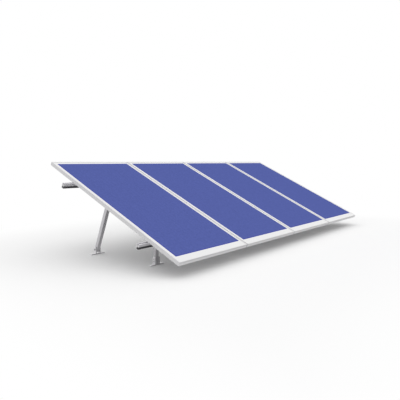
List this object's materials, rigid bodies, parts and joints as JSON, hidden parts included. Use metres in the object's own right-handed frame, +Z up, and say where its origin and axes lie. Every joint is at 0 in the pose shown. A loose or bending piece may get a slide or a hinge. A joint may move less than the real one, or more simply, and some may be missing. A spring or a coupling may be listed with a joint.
{
  "type": "solar panel mounting rack",
  "caption": "Tilted ground rack with framed solar panels in a row on two T-slot rails, sloped beams, short front posts, leaning rear legs and bolted flanged feet.",
  "frame": {"origin": "on the ground, under the middle of the row of panels", "axes": "+X along the row, +Y from the low front edge to the high rear edge, +Z up"},
  "size_m": [4.21, 1.6438, 0.9173],
  "materials": {
    "frame_coating": "white powder coat on extruded aluminium",
    "laminate": "glass over a white rear sheet",
    "cells": "blue silicon cells under low-glare glass",
    "junction_box": "fine moulded texture",
    "rail": "satin anodised extrusion",
    "end_plug": "light grey moulded plastic",
    "tube": "satin mill finish",
    "bracket": "satin extrusion, sawn ends",
    "fastener": "plain stainless steel"
  },
  "bodies": {
    "root": {"foot_bolts": "fastener", "foot_nuts": "fastener", "foot_pivot_bolts": "fastener", "frame_corner_keys": "bracket", "hinge_pivot_bolts": "fastener", "panel_1_cell_field": "cells", "panel_1_frame_left": "frame_coating", "panel_1_frame_lower": "frame_coating", "panel_1_frame_right": "frame_coating", "panel_1_frame_upper": "frame_coating", "panel_1_junction_box": "junction_box", "panel_1_laminate": "laminate", "panel_2_cell_field": "cells", "panel_2_frame_left": "frame_coating", "panel_2_frame_lower": "frame_coating", "panel_2_frame_right": "frame_coating", "panel_2_frame_upper": "frame_coating", "panel_2_junction_box": "junction_box", "panel_2_laminate": "laminate", "panel_3_cell_field": "cells", "panel_3_frame_left": "frame_coating", "panel_3_frame_lower": "frame_coating", "panel_3_frame_right": "frame_coating", "panel_3_frame_upper": "frame_coating", "panel_3_junction_box": "junction_box", "panel_3_laminate": "laminate", "panel_4_cell_field": "cells", "panel_4_frame_left": "frame_coating", "panel_4_frame_lower": "frame_coating", "panel_4_frame_right": "frame_coating", "panel_4_frame_upper": "frame_coating", "panel_4_junction_box": "junction_box", "panel_4_laminate": "laminate", "pivot_nuts": "fastener", "rail_end_plugs": "end_plug", "rail_front": "rail", "rail_rear": "rail", "small_nuts": "fastener", "support_left_beam": "rail", "support_left_front_foot": "bracket", "support_left_front_hinge": "bracket", "support_left_front_post": "tube", "support_left_rear_foot": "bracket", "support_left_rear_hinge": "bracket", "support_left_rear_leg": "tube", "support_middle_beam": "rail", "support_middle_front_foot": "bracket", "support_middle_front_hinge": "bracket", "support_middle_front_post": "tube", "support_middle_rear_foot": "bracket", "support_middle_rear_hinge": "bracket", "support_middle_rear_leg": "tube", "support_right_beam": "rail", "support_right_front_foot": "bracket", "support_right_front_hinge": "bracket", "support_right_front_post": "tube", "support_right_rear_foot": "bracket", "support_right_rear_hinge": "bracket", "support_right_rear_leg": "tube", "t_bolts": "fastener"}
  },
  "joints": []
}
